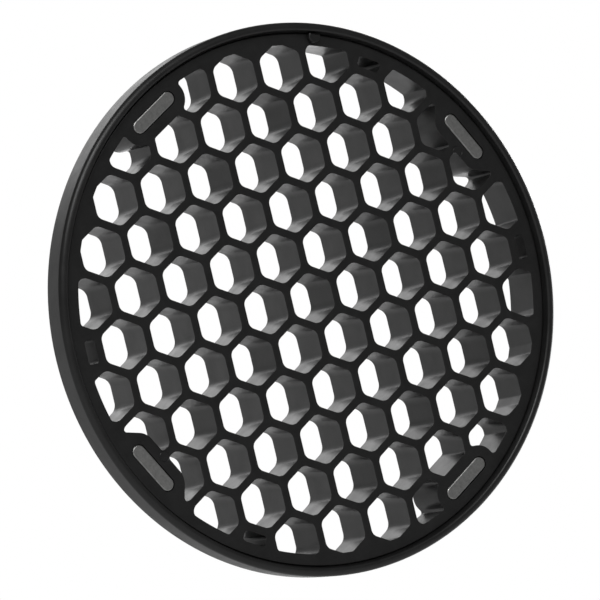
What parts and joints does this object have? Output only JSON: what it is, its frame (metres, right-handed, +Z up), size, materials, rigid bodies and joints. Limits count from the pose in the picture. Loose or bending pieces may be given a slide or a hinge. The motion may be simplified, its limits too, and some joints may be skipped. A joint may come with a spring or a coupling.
{
  "type": "honeycomb grid",
  "caption": "Round honeycomb grid for a flash head: moulded hexagonal-cell insert in a lipped rim ring, held on by flush bar magnets in its face.",
  "frame": {"origin": "centre of the magnet face, on the optical axis, in the plane of the magnets' faces", "axes": "+Y along the optical axis from the magnet face to the open back, +Z up through the index nub, +X to the right when looking along +Y"},
  "size_m": [0.076, 0.008, 0.076],
  "materials": {
    "rim_plastic": "black satin moulded plastic",
    "grid_plastic": "black matte moulded plastic, lightly textured",
    "magnet_plating": "scuffed nickel plating"
  },
  "bodies": {
    "root": {"rim_ring": "rim_plastic", "honeycomb_insert": "grid_plastic", "magnet_top_right": "magnet_plating", "magnet_top_left": "magnet_plating", "magnet_bottom_left": "magnet_plating", "magnet_bottom_right": "magnet_plating"}
  },
  "joints": []
}
